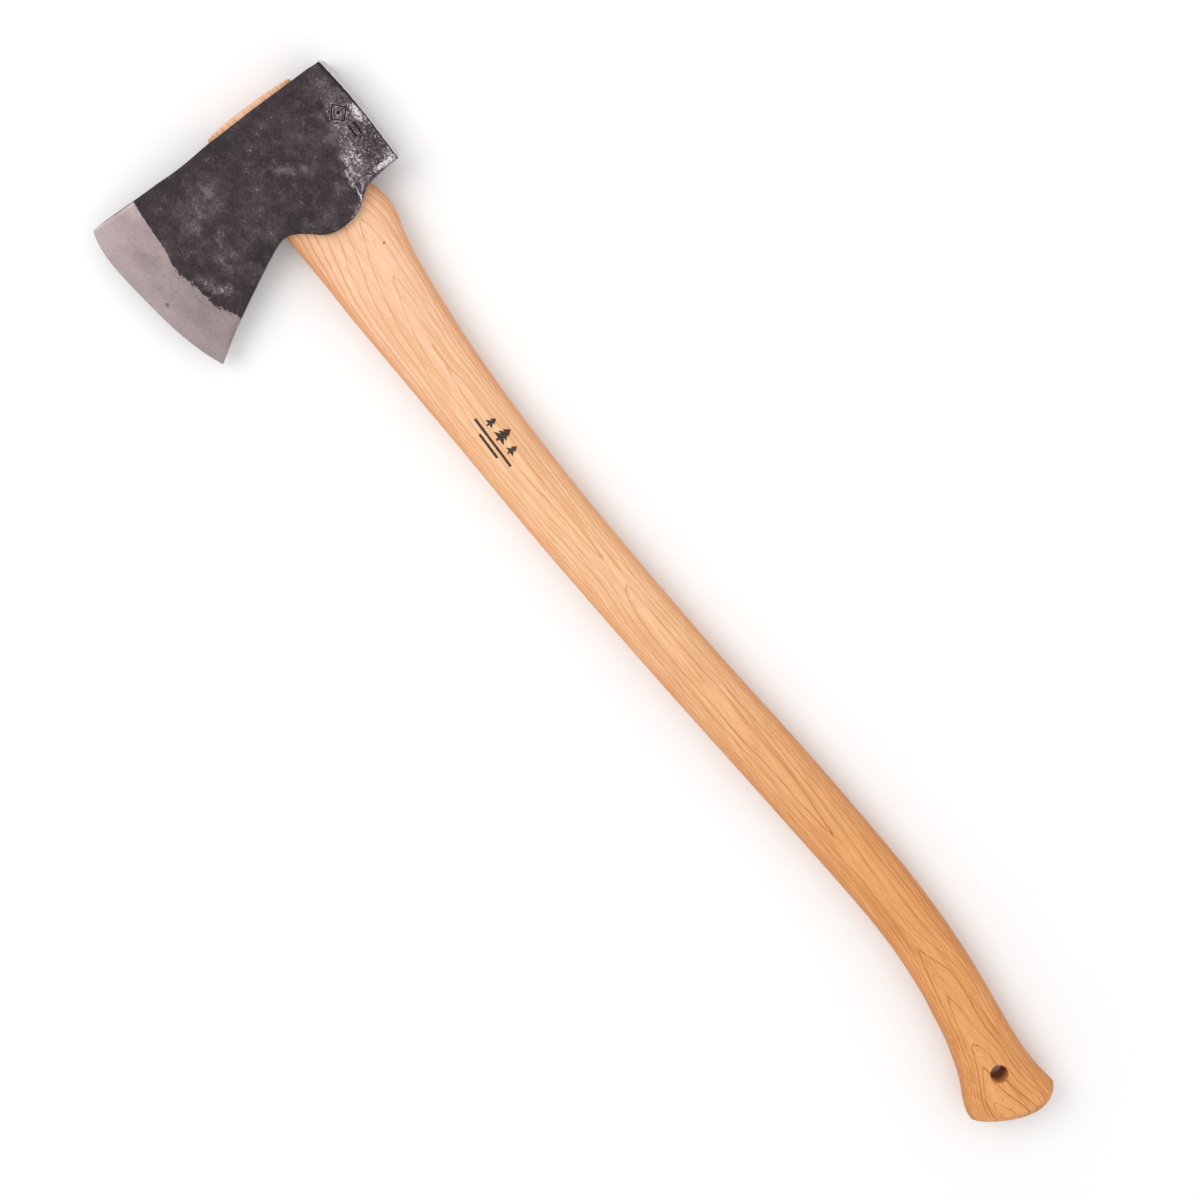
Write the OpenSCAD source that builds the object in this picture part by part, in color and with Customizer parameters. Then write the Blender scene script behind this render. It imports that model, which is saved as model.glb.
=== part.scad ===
// Felling axe: a forged steel head hung on a curved hickory haft.
// The axe lies on its side. X runs up the haft from foot to head, Y from poll to
// cutting edge, Z is the thickness. The origin is the middle of the underside.
// Drawing coordinates start at the foot's lowest point (x), on the eye's middle
// line (y) and on the axe's middle plane (z); placed() moves them to the origin.

/* [Head] */
// Half thickness of the head at the eye
head_half = 15.6; // [15:0.1:16.5]
// Height of the top of the head above the foot
head_top = 785.2; // [783:0.2:787]
// Y of the poll's striking face
poll_y = -55.5; // [-58:0.5:-53]
// Bevel round the poll's face
poll_bevel = 2; // [1:0.1:2.5]
// Bevel along the head's top and bottom edges
rim_bevel = 1; // [0.5:0.1:1.5]
// Half thickness of the cutting edge
edge_half = 0.15; // [0.1:0.05:0.3]
// How far the cutting edge bows out from its chord
edge_bow = 6.8; // [5:0.2:9]

/* [Eye] */
// Half length of the eye at the top of the head
eye_top_long = 30.8; // [30:0.1:31.5]
// Half width of the eye at the top of the head
eye_top_wide = 10.6; // [10:0.1:11]
// Half length of the eye at its mouth under the head
eye_low_long = 29.8; // [29:0.1:30.5]
// Half width of the eye at its mouth under the head
eye_low_wide = 9.8; // [9.4:0.1:10.2]
// How far the eye's middle leans towards the poll at its mouth
eye_lean = 2.2; // [1:0.1:2.5]
// Gap between the tenon and the eye's wall
tenon_gap = 0.1; // [0.05:0.05:0.2]

/* [Haft] */
// Height of the tenon above the top of the head
tenon_proud = 3.8; // [3:0.2:7]
// Radius of the hanging hole
hole_r = 5.5; // [4:0.1:7]
// Height of the hanging hole above the foot's lowest point
hole_x = 37.2; // [34:0.1:44]
// Y of the hanging hole
hole_y = -12.7; // [-16:0.1:-10]
// Depth of the foot's rounded end
foot_dome = 13.4; // [11:0.2:14]

/* [Wedges] */
// Depth that the wooden wedge is driven into the tenon
wedge_depth = 52; // [40:1:60]
// Thickness of the wooden wedge at the tenon's top
wedge_top = 5.6; // [4:0.1:7]
// Thickness of the wooden wedge at its tip
wedge_tip = 1.4; // [1:0.1:2]
// Length of saw kerf left below the wooden wedge
kerf_spare = 6; // [2:1:12]
// Width of the steel cross wedge
steel_width = 20; // [16:1:22]
// Depth of the steel cross wedge
steel_depth = 24; // [18:1:28]
// Thickness of the steel cross wedge at its top
steel_top = 3.6; // [3:0.1:4.5]
// Angle between the steel wedge and the wooden wedge
steel_angle = 50; // [35:1:60]

/* [Hidden] */

STEEL = [0.20, 0.19, 0.20];
BRIGHT = [0.62, 0.61, 0.60];
HICKORY = [0.87, 0.66, 0.43];
WEDGE_WOOD = [0.80, 0.56, 0.34];

edge_y = 121.2;               // furthest reach of the cutting edge
heel = [105, 676.4];          // lower corner of the cutting edge, [y, x]
toe = [118.4, 785.8];         // upper corner of the cutting edge, [y, x]
eye_low_x = 698;              // mouth of the eye, at the bottom of the lugs
tenon_low = 712;              // where the tenon starts, inside the lugs
tenon_top = head_top + tenon_proud;
tenon_bevel = 0.8;            // bevel round the tenon's top
wedge_gap = 0.08;             // gap round both wedges
steel_steps = 4;              // barbs on each face of the steel wedge
steel_tip = 0.8;              // thickness of the steel wedge at its tip
through = 80;                 // longer than any cut

// Rows of the head's underside, [y, x]: poll, lug, throat and the sweep to the heel.
underside = [
    [poll_y, 712], [-41, 711.4], [-31, 710], [-26, 707.2], [-21, 703.6], [-14, 699.8],
    [-5, 698.4], [3, 699.2], [9, 701.6], [14, 705.8], [19, 709.8], [24, 712.8], [29, 714.2],
    [34, 713.5], [42, 710.3], [59, 702], [79, 691.7], [91, 685], heel
];
// Rows of the head's upper line, [y, x].
topline = [
    [poll_y, head_top], [30, head_top], [49, 784.4], [69, 784.8], [89, 785.6], [107, 786.2], toe
];
// Rows of half thickness across the head, [y of the underside, half thickness].
thickness = [
    [poll_y, 13], [-42, 13.6], [-28, 14.7], [-12, head_half - 0.1], [-2, head_half],
    [12, 15], [30, 12.6], [50, 9.2], [70, 5.9], [86, 3.6], [97, 1.6], [heel[0], edge_half]
];
// Rows of the haft below the eye: [station, front x, front y, back x, back y, half thickness].
haft_rows = [
    [15, 21.5, 18.9, 9.5, -36.7, 12.8],
    [21.5, 27, 18.2, 16, -35.9, 13],
    [29, 34, 15.6, 24, -34.9, 13],
    [38, 42, 11.6, 34, -34.5, 13],
    [48, 51, 7.8, 45, -34.8, 12.8],
    [59, 61, 4.8, 57, -36, 12.4],
    [71, 72, 1.8, 70, -37.5, 12],
    [90, 90, -1.3, 90, -39.8, 11.6],
    [106, 106, -3.8, 106, -41.4, 11.4],
    [140, 140, -6.1, 140, -43, 11.3],
    [180, 180, -4.8, 180, -42.6, 11.4],
    [265, 265, 1.9, 265, -37.3, 11.8],
    [370, 370, 10.6, 370, -28.1, 12],
    [475, 475, 17.8, 475, -21.9, 12],
    [540, 540, 20.9, 540, -20.4, 12],
    [600, 600, 23.9, 600, -21.8, 12],
    [650, 650, 26.4, 650, -26.2, 11.9],
    [668, 668, 26.9, 668, -28.9, 11.6],
    [678, 678, 27.1, 678, -31.3, 11.1],
    [687, 687, 27.5, 687, -33.8, 10.3],
    [694, 694, 27.9, 694, -34.6, 9.8],
    [700, 700, 28.1, 700, -34, 9.6],
    [707, 707, 28.2, 707, -32.7, 9.6]
];

// Smooth value of a table of rows at u, which is each row's first entry.
function row_slope(rows, i) =
    let (a = max(i - 1, 0), b = min(i + 1, len(rows) - 1))
    (rows[b] - rows[a]) / (rows[b][0] - rows[a][0]);
function row_index(rows, u, i = 0) =
    (i >= len(rows) - 2 || u < rows[i + 1][0]) ? i : row_index(rows, u, i + 1);
function smooth_row(rows, u) =
    let (
        i = row_index(rows, u),
        w = rows[i + 1][0] - rows[i][0],
        t = (u - rows[i][0]) / w
    )
    rows[i] * (1 + 2 * t) * (1 - t) * (1 - t) + row_slope(rows, i) * w * t * (1 - t) * (1 - t)
    + rows[i + 1] * t * t * (3 - 2 * t) - row_slope(rows, i + 1) * w * t * t * (1 - t);
function ease(t) = let (c = min(max(t, 0), 1)) c * c * (3 - 2 * c);

// A superellipse of n points: half sizes a and b, squareness p (2 is an ellipse).
function signed_power(v, e) = sign(v) * pow(abs(v), e);
function oval(a, b, p, n) = [
    for (i = [0 : n - 1])
        let (f = (i + 0.5) * 360 / n)
        [a * signed_power(cos(f), 2 / p), b * signed_power(sin(f), 2 / p)]
];

// A solid through rings of points. Each ring mirrors itself in z, and each end is
// closed by joining the points that mirror each other.
module loft(rings) {
    n = len(rings[0]);
    last = len(rings) - 1;
    points = [for (ring = rings) each ring];
    sides = [
        for (r = [0 : last - 1], i = [0 : n - 1])
            let (j = (i + 1) % n, a = r * n)
            each [[a + i, a + n + i, a + j], [a + j, a + n + i, a + n + j]]
    ];
    function cap(a, flip) = [
        for (i = [0 : n / 2 - 2])
            let (p = a + i, q = a + i + 1, r = a + n - 2 - i, s = a + n - 1 - i)
            each (flip ? [[p, q, r], [p, r, s]] : [[r, q, p], [s, r, p]])
    ];
    polyhedron(points, concat(sides, cap(0, true), cap(last * n, false)), convexity = 8);
}

// Moves the drawing to the part's own origin.
module placed() {
    translate([-tenon_top / 2, -(poll_y + edge_y) / 2, head_half]) children();
}

// One ring of the head, at u along its underside, drawn in by inset at its rim.
head_steps = 14;
function head_ring(u, inset = 0) =
    let (
        low = smooth_row(underside, u),
        top_y = u < 40 ? u : 40 + (u - 40) * (toe[0] - 40) / (heel[0] - 40),
        top_x = smooth_row(topline, top_y)[1],
        bow = edge_bow * ease((u - 30) / (heel[0] - 30)),
        half = smooth_row(thickness, u)[1],
        crown = 0.02 + 0.16 * ease((u - 20) / 50),
        rim = min(rim_bevel, half * 0.5),
        tall = top_x - low[1],
        cut = (rim + inset) / tall,
        shares = [0, for (k = [0 : head_steps]) cut + (1 - 2 * cut) * k / head_steps, 1],
        side = [
            for (k = [0 : len(shares) - 1])
                let (
                    s = shares[k],
                    at_rim = k == 0 || k == len(shares) - 1,
                    sx = at_rim ? inset / tall + s * (1 - 2 * inset / tall) : s,
                    z = half * (1 - crown * pow(2 * s - 1, 2)) - inset - (at_rim ? rim : 0),
                    lean = poll_lean(u, sx)
                )
                [
                    low[1] + tall * sx,
                    u + (top_y - u) * sx + bow * arch(sx) + lean,
                    z
                ]
        ]
    )
    concat(side, [for (k = [len(side) - 1 : -1 : 0]) [side[k].x, side[k].y, -side[k].z]]);
// The bow's shape up the cutting edge: fuller at the toe than at the heel.
function arch(s) = 1 - pow(abs(2 * s - 1), s < 0.5 ? 2.6 : 4);
// The upper third of the poll's face leans in a little.
function poll_lean(u, s) =
    2.6 * pow(max(0, (s - 0.62) / 0.38), 1.6) * (1 - ease((u - poll_y) / 20));

head_stations = [
    for (u = [poll_y + poll_bevel : 2.6 : heel[0] - 3]) u,
    heel[0] - 1.6, heel[0]
];

module head_body() {
    loft(concat(
        [head_ring(poll_y, poll_bevel)],
        [for (u = head_stations) head_ring(u)]
    ));
}

// The eye's oval at height x, grown by gap.
eye_points = 48;
function eye_ring(x, gap) =
    let (
        t = (x - eye_low_x) / (head_top - eye_low_x),
        a = eye_low_long + (eye_top_long - eye_low_long) * t + gap,
        b = eye_low_wide + (eye_top_wide - eye_low_wide) * t + gap,
        c = 0.5 - eye_lean * (1 - t)
    )
    [for (p = oval(a, b, 2.5, eye_points)) [x, c + p[0], p[1]]];

module axe_head() {
    color(STEEL) placed() difference() {
        head_body();
        loft([eye_ring(eye_low_x - 15, 0), eye_ring(head_top + 10, 0)]);
    }
}

// One ring of the haft at station u.
function haft_ring(u) =
    let (
        r = smooth_row(haft_rows, u),
        mid = [(r[1] + r[3]) / 2, (r[2] + r[4]) / 2],
        arm = [(r[1] - r[3]) / 2, (r[2] - r[4]) / 2]
    )
    [for (p = oval(1, r[5], 2.4, eye_points)) [mid[0] + arm[0] * p[0], mid[1] + arm[1] * p[0], p[1]]];

// Rings of the foot's rounded end, from near its tip to the first row. The dome's
// peak lies towards the back corner.
dome_shares = [0.985, 0.95, 0.88, 0.78, 0.64, 0.46, 0.26, 0.1];
function dome_ring(v) =
    let (
        r = haft_rows[0],
        mid = [(r[1] + r[3]) / 2, (r[2] + r[4]) / 2],
        arm = [(r[1] - r[3]) / 2, (r[2] - r[4]) / 2],
        out = [-arm[1], arm[0]] / norm(arm) * foot_dome * v,
        grow = pow(1 - pow(v, 1.5), 0.6),
        thin = pow(1 - pow(v, 3.5), 0.45),
        slip = (1 - grow) * (0.28 * (1 - grow) - 0.58)
    )
    [
        for (p = oval(grow, r[5] * thin, 2.4, eye_points))
            [mid[0] + arm[0] * (p[0] + slip) + out[0], mid[1] + arm[1] * (p[0] + slip) + out[1], p[1]]
    ];

haft_stations = [
    for (u = [15 : 4 : 71]) u,
    for (u = [78 : 14 : 652]) u,
    for (u = [660 : 4 : 706]) u
];

module haft_body() {
    loft(concat(
        [for (v = dome_shares) dome_ring(v)],
        [for (u = haft_stations) haft_ring(u)],
        [
            eye_ring(tenon_low, -tenon_gap),
            eye_ring(tenon_top - tenon_bevel, -tenon_gap),
            eye_ring(tenon_top, -tenon_gap - tenon_bevel)
        ]
    ));
}

// Side view of the wooden wedge, [x, z], grown by gap. A cut's end passes the tenon's top.
module wedge_outline(gap) {
    polygon([
        [tenon_top - wedge_depth, -wedge_tip / 2 - gap],
        [tenon_top - wedge_depth, wedge_tip / 2 + gap],
        [tenon_top + gap * 10, wedge_top / 2 + gap],
        [tenon_top + gap * 10, -wedge_top / 2 - gap]
    ]);
}
module wedge_prism(gap) {
    rotate([90, 0, 0]) linear_extrude(through, center = true) wedge_outline(gap);
}

// The steel wedge: barbed faces, driven across the wooden wedge.
module steel_outline(gap) {
    pitch = steel_depth / steel_steps;
    function face(k) = (steel_tip + (steel_top - steel_tip) * k / steel_steps) / 2 + gap;
    upper = [
        for (k = [0 : steel_steps - 1]) each [
            [k * pitch - (k == 0 ? gap : 0), face(k)],
            [(k + 1) * pitch + (k == steel_steps - 1 ? gap * 12 : 0), face(k + 1)]
        ]
    ];
    polygon(concat(upper, [for (k = [len(upper) - 1 : -1 : 0]) [upper[k][0], -upper[k][1]]]));
}
module steel_solid(gap) {
    translate([tenon_top - steel_depth, 0, 0]) rotate([steel_angle, 0, 0])
        rotate([90, 0, 0]) linear_extrude(steel_width + 2 * gap, center = true) steel_outline(gap);
}

module haft() {
    color(HICKORY) placed() difference() {
        haft_body();
        wedge_prism(wedge_gap);
        translate([tenon_top - wedge_depth - kerf_spare, -through / 2, -wedge_tip / 2])
            cube([kerf_spare + 1, through, wedge_tip]);
        steel_solid(wedge_gap);
        translate([hole_x, hole_y, 0]) cylinder(h = through, r = hole_r, center = true, $fn = 64);
    }
}

module wooden_wedge() {
    color(WEDGE_WOOD) placed() difference() {
        intersection() {
            wedge_prism(0);
            loft([eye_ring(tenon_top - wedge_depth, -tenon_gap), eye_ring(tenon_top, -tenon_gap)]);
        }
        steel_solid(wedge_gap);
    }
}

module steel_wedge() {
    color(BRIGHT) placed() steel_solid(0);
}

axe_head();
haft();
wooden_wedge();
steel_wedge();
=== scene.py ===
"""The felling axe's looks. Drawing coordinates are millimetres, as in part.scad: x from
the foot's lowest point up the haft, y from the eye's middle line, z from the middle plane."""

import functools
import math

import bmesh
import bpy
import numpy as np
from mathutils import Matrix, Vector


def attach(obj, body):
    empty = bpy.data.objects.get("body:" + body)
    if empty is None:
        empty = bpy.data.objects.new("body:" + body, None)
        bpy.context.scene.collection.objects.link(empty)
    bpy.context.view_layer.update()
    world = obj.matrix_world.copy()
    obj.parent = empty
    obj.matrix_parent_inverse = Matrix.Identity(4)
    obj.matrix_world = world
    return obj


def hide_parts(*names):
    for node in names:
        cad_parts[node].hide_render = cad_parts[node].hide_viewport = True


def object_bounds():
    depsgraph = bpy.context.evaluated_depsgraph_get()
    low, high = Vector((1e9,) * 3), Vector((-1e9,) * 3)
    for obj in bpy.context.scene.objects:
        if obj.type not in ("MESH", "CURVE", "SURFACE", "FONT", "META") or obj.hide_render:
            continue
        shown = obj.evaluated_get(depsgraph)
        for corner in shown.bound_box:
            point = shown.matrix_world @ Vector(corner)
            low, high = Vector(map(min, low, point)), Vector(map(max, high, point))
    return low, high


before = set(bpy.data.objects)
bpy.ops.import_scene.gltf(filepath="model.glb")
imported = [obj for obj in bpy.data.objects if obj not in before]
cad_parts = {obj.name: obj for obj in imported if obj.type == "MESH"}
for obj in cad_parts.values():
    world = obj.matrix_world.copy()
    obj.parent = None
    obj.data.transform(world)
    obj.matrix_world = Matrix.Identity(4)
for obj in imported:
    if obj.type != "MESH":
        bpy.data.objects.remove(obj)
CAD_BOX = [list(v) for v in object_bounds()]

# ---------------- sizes, as in the CAD

HEAD_HALF = 15.6  # half the head's thickness
HEAD_TOP = 785.2
POLL_Y = -55.5
EDGE_Y = 121.2
POLL_BEVEL = 2.0
EDGE_HALF = 0.15
EDGE_BOW = 6.74  # how far the cutting edge bows out
HEEL = (105.0, 676.4)  # the cutting edge's low end: y, x
TOE = (118.4, 785.8)  # its high end: y, x

POLL_ROUND = 0.7  # radius of the poll's rim
POLL_LEAN = 2.6  # how far the poll leans in at the head's top

TENON_LOW = 712.0
TENON_TOP = HEAD_TOP + 3.8
TENON_GAP = 0.1
EYE_LOW_X = 698.0
EYE_LOW_LONG, EYE_LOW_WIDE = 29.8, 9.8  # half sizes of the eye at its low end
EYE_TOP_LONG, EYE_TOP_WIDE = 30.8, 10.6  # and at the head's top
EYE_MIDDLE = 0.5  # the eye's middle at the head's top
EYE_LEAN = 2.2  # how far the middle shifts by its low end
EYE_POWER = 2.5  # how square the eye's oval is: 2 is an ellipse

HOLE_X, HOLE_Y, HOLE_R = 37.2, -12.7, 5.5
FOOT_DOME = 13.4

# Each wedge's depth, and its thickness at its top and its tip.
WEDGE_DEPTH, WEDGE_TOP, WEDGE_TIP = 52.0, 5.6, 1.4
STEEL_DEEP, STEEL_TOP, STEEL_TIP = 24.0, 3.6, 0.8
STEEL_WIDE = 20.0
WEDGE_GAP = 0.08
KERF_SPARE = 6.0  # how far the saw kerf runs below the wedge's tip
STEEL_ANGLE = 50.0  # how far it is turned out of the wooden wedge's plane
STEEL_STEPS = 4  # stretches of the steel wedge's taper
CUT_PAST = 4.0  # how far the slots' cutters run past the tenon's top
CUT_HALF = 40.0  # half the length of the cutters that cross the tenon

# The head's outline, as y and x.
UNDERSIDE = [
    (POLL_Y, 712), (-41, 711.4), (-31, 710), (-26, 707.2), (-21, 703.6), (-14, 699.8),
    (-5, 698.4), (3, 699.2), (9, 701.6), (14, 705.8), (19, 709.8), (24, 712.8), (29, 714.2),
    (34, 713.5), (42, 710.3), (59, 702), (79, 691.7), (91, 685), HEEL,
]
TOPLINE = [
    (POLL_Y, HEAD_TOP), (30, HEAD_TOP), (49, 784.4), (69, 784.8), (89, 785.6), (107, 786.2), TOE,
]
# Half the head's thickness from the poll to the edge, as y and z.
THICKNESS = [
    (POLL_Y, 13), (-42, 13.6), (-28, 14.7), (-12, 15.5), (-2, 15.6), (12, 15), (30, 12.6),
    (50, 9.2), (70, 5.9), (86, 3.6), (97, 1.6), (HEEL[0], EDGE_HALF),
]
# Station, front x, front y, back x, back y, half thickness.
HAFT = [
    (15, 21.5, 18.9, 9.5, -36.7, 12.8), (21.5, 27, 18.2, 16, -35.9, 13),
    (29, 34, 15.6, 24, -34.9, 13), (38, 42, 11.6, 34, -34.5, 13),
    (48, 51, 7.8, 45, -34.8, 12.8), (59, 61, 4.8, 57, -36, 12.4),
    (71, 72, 1.8, 70, -37.5, 12), (90, 90, -1.3, 90, -39.8, 11.6),
    (106, 106, -3.8, 106, -41.4, 11.4), (140, 140, -6.1, 140, -43, 11.3),
    (180, 180, -4.8, 180, -42.6, 11.4), (265, 265, 1.9, 265, -37.3, 11.8),
    (370, 370, 10.6, 370, -28.1, 12), (475, 475, 17.8, 475, -21.9, 12),
    (540, 540, 20.9, 540, -20.4, 12), (600, 600, 23.9, 600, -21.8, 12),
    (650, 650, 26.4, 650, -26.2, 11.9), (668, 668, 26.9, 668, -28.9, 11.6),
    (678, 678, 27.1, 678, -31.3, 11.1), (687, 687, 27.5, 687, -33.8, 10.3),
    (694, 694, 27.9, 694, -34.6, 9.8), (700, 700, 28.1, 700, -34, 9.6),
    (707, 707, 28.2, 707, -32.7, 9.6),
]
HAFT_LOW, HAFT_HIGH = HAFT[0][0], HAFT[-1][0]
ORIGIN = np.array([TENON_TOP / 2, (POLL_Y + EDGE_Y) / 2, -HEAD_HALF])


def metres(points):
    """Drawing millimetres to the row frame's metres."""
    return (np.asarray(points, float) - ORIGIN) / 1000.0


def row_place(place):
    """A drawing place in the row frame's millimetres."""
    return tuple(np.asarray(place, float) - ORIGIN)


def row_x(x):
    return x - ORIGIN[0]


def row_y(y):
    return y - ORIGIN[1]


# ---------------- numbers


def smooth(rows, u):
    """Smooth values of a table of rows at u, which is each row's first entry."""
    r = np.array(rows, float)
    x = r[:, 0]
    u = np.atleast_1d(np.asarray(u, float))
    i = np.clip(np.searchsorted(x, u, side="right") - 1, 0, len(x) - 2)
    slope = np.empty_like(r)
    slope[1:-1] = (r[2:] - r[:-2]) / (x[2:] - x[:-2])[:, None]
    slope[0] = (r[1] - r[0]) / (x[1] - x[0])
    slope[-1] = (r[-1] - r[-2]) / (x[-1] - x[-2])
    w = (x[i + 1] - x[i])[..., None]
    t = (u - x[i])[..., None] / w
    return (
        r[i] * (1 + 2 * t) * (1 - t) ** 2
        + slope[i] * w * t * (1 - t) ** 2
        + r[i + 1] * t * t * (3 - 2 * t)
        - slope[i + 1] * w * t * t * (1 - t)
    )


def ease(t):
    c = np.clip(t, 0, 1)
    return c * c * (3 - 2 * c)


def lattice(ix, iy, seed):
    """A number from 0 to 1 for each whole-number place, mixed from its bits."""
    h = ix.astype(np.int64) * 374761393 + iy.astype(np.int64) * 668265263 + seed * 974634777
    h = h & 0xFFFFFFFF
    h = ((h ^ (h >> 13)) * 1274126177) & 0xFFFFFFFF
    return ((h ^ (h >> 16)) & 0xFFFF) / 65535.0


def quintic(t):
    return t * t * t * (t * (t * 6 - 15) + 10)


def noise(x, y, seed):
    """Smooth noise from -1 to 1, with features about one unit across."""
    x, y = np.broadcast_arrays(np.asarray(x, float), np.asarray(y, float))
    ix, iy = np.floor(x), np.floor(y)
    fx, fy = quintic(x - ix), quintic(y - iy)
    a, b = lattice(ix, iy, seed), lattice(ix + 1, iy, seed)
    c, d = lattice(ix, iy + 1, seed), lattice(ix + 1, iy + 1, seed)
    return 2 * ((a + (b - a) * fx) * (1 - fy) + (c + (d - c) * fx) * fy) - 1


def fbm(x, y, seed, octaves=4):
    """Noise with finer and fainter noise added to it."""
    total, amp = 0.0, 1.0
    for k in range(octaves):
        total = total + amp * noise(x * 2**k + 7.3 * k, y * 2**k - 3.1 * k, seed + k)
        amp *= 0.5
    return total / 1.6


def blob(x, y, cx, cy, rx, ry, turn=0.0):
    """A soft round patch: 1 at its middle, fading over rx and ry."""
    a = math.radians(turn)
    dx, dy = x - cx, y - cy
    px, py = dx * math.cos(a) + dy * math.sin(a), -dx * math.sin(a) + dy * math.cos(a)
    return np.exp(-((px / rx) ** 2) - (py / ry) ** 2)


def path_distance(x, y, points):
    """Signed distance to an open path, and how far along it the nearest point lies, 0 to 1."""
    p = np.array(points, float)
    best = np.full(x.shape, 1e9)
    sign, along = np.ones(x.shape), np.zeros(x.shape)
    for k in range(len(p) - 1):
        a, d = p[k], p[k + 1] - p[k]
        t = np.clip(((x - a[0]) * d[0] + (y - a[1]) * d[1]) / (d @ d), 0, 1)
        ex, ey = x - a[0] - t * d[0], y - a[1] - t * d[1]
        dist = np.hypot(ex, ey)
        near = dist < best
        best = np.where(near, dist, best)
        sign = np.where(near, np.sign(d[0] * ey - d[1] * ex), sign)
        along = np.where(near, (k + t) / (len(p) - 1), along)
    return best * sign, along


# ---------------- meshes


def new_object(name, data):
    obj = bpy.data.objects.new(name, data)
    bpy.context.scene.collection.objects.link(obj)
    return obj


def store(mesh, key, values):
    """Keeps one number per vertex in the mesh."""
    made = mesh.attributes.new(key, "FLOAT", "POINT")
    made.data.foreach_set("value", np.asarray(values, np.float32))


def make_object(name, verts, faces, attributes=None, sharp=32.0):
    """A smooth-shaded mesh object in the row frame. attributes are one number per vertex."""
    mesh = bpy.data.meshes.new(name)
    mesh.from_pydata(metres(verts).tolist(), [], [tuple(int(i) for i in f) for f in faces])
    for key, values in (attributes or {}).items():
        store(mesh, key, values)
    bm = bmesh.new()
    bm.from_mesh(mesh)
    bmesh.ops.remove_doubles(bm, verts=bm.verts, dist=2e-7)
    bmesh.ops.dissolve_degenerate(bm, edges=bm.edges, dist=1e-8)
    bmesh.ops.recalc_face_normals(bm, faces=bm.faces)
    bm.to_mesh(mesh)
    bm.free()
    obj = new_object(name, mesh)
    mesh.shade_smooth()
    mesh.set_sharp_from_angle(angle=math.radians(sharp))
    return obj


def grid_faces(rows, cols, closed=False):
    """Quads of a grid whose vertices are numbered row by row."""
    i = np.arange(rows - 1)[:, None]
    j = np.arange(cols if closed else cols - 1)[None, :]
    k = (j + 1) % cols
    a = i * cols + j
    b = i * cols + k
    return np.stack([a, b, b + cols, a + cols], -1).reshape(-1, 4)


def tube_faces(rows, cols):
    """Faces of a closed solid made of rings, with a flat face on each end."""
    ends = [list(range(cols)), list(range((rows - 1) * cols, rows * cols))]
    return list(grid_faces(rows, cols, closed=True)) + ends


def spaced(stops):
    """Stations from (start, step) pairs, the last pair's start being the end."""
    out = []
    for (a, step), (b, _) in zip(stops, stops[1:]):
        n = max(1, int(round((b - a) / step)))
        out += list(np.linspace(a, b, n, endpoint=False))
    return np.array(out + [stops[-1][0]], float)


def cut(obj, *cutters, operation="DIFFERENCE"):
    """Cuts each cutter out of obj, or keeps what is inside it, and removes the cutters."""
    for c in cutters:
        m = obj.modifiers.new("cut", "BOOLEAN")
        m.operation, m.object, m.solver = operation, c, "EXACT"
    bpy.context.view_layer.update()
    dg = bpy.context.evaluated_depsgraph_get()
    shape = obj.evaluated_get(dg)
    made = bpy.data.meshes.new_from_object(shape, preserve_all_data_layers=True, depsgraph=dg)
    obj.modifiers.clear()
    obj.data = made
    for c in cutters:
        bpy.data.objects.remove(c)
    return obj


# ---------------- head

FACE_COLS = 7  # quads from the middle of a flat face to its rim
RIM_ARC = np.radians([0, 30, 60])
RIM_ROUND = 1.5
WALL_ROWS = 10


def eye_size(x):
    """The eye's half length, half width and middle at x."""
    t = (x - EYE_LOW_X) / (HEAD_TOP - EYE_LOW_X)
    long = EYE_LOW_LONG + (EYE_TOP_LONG - EYE_LOW_LONG) * t
    wide = EYE_LOW_WIDE + (EYE_TOP_WIDE - EYE_LOW_WIDE) * t
    return long, wide, EYE_MIDDLE - EYE_LEAN * (1 - t)


def eye_half_width(x, y):
    long, wide, middle = eye_size(x)
    inside = np.clip(1 - np.abs((y - middle) / long) ** EYE_POWER, 0, None)
    return wide * inside ** (1 / EYE_POWER)


def arch(s):
    """The cutting edge's bow, 1 at its middle and 0 at its ends."""
    return 1 - np.abs(2 * s - 1) ** np.where(s < 0.5, 2.6, 4.0)


def head_profile(u):
    """Underside x, top x, top y, bow, half thickness and crown of the rings at u."""
    low = smooth(UNDERSIDE, u)[:, 1] + 0.22 * noise(u / 9.0, 0.5, 11) * ease((u + 52) / 8)
    top_y = np.where(u < 40, u, 40 + (u - 40) * (TOE[0] - 40) / (HEEL[0] - 40))
    top = smooth(TOPLINE, top_y)[:, 1] + 0.25 * noise(u / 11.0, 3.5, 12) * ease((u + 52) / 8)
    top = top - 0.5 * ease((-42 - u) / 8) + 0.5 * np.exp(-(((u + 54) / 1.2) ** 2))
    bow = EDGE_BOW * ease((u - 30) / (HEEL[0] - 30))
    half = smooth(THICKNESS, u)[:, 1]
    crown = 0.02 + 0.16 * ease((u - 20) / 50)
    return low, top, top_y, bow, half, crown


MARK_LOZENGE = (753.8, -41.5)
MARK_BARS = (740.0, -43.6)
MARK_SUNK = 0.42


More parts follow.
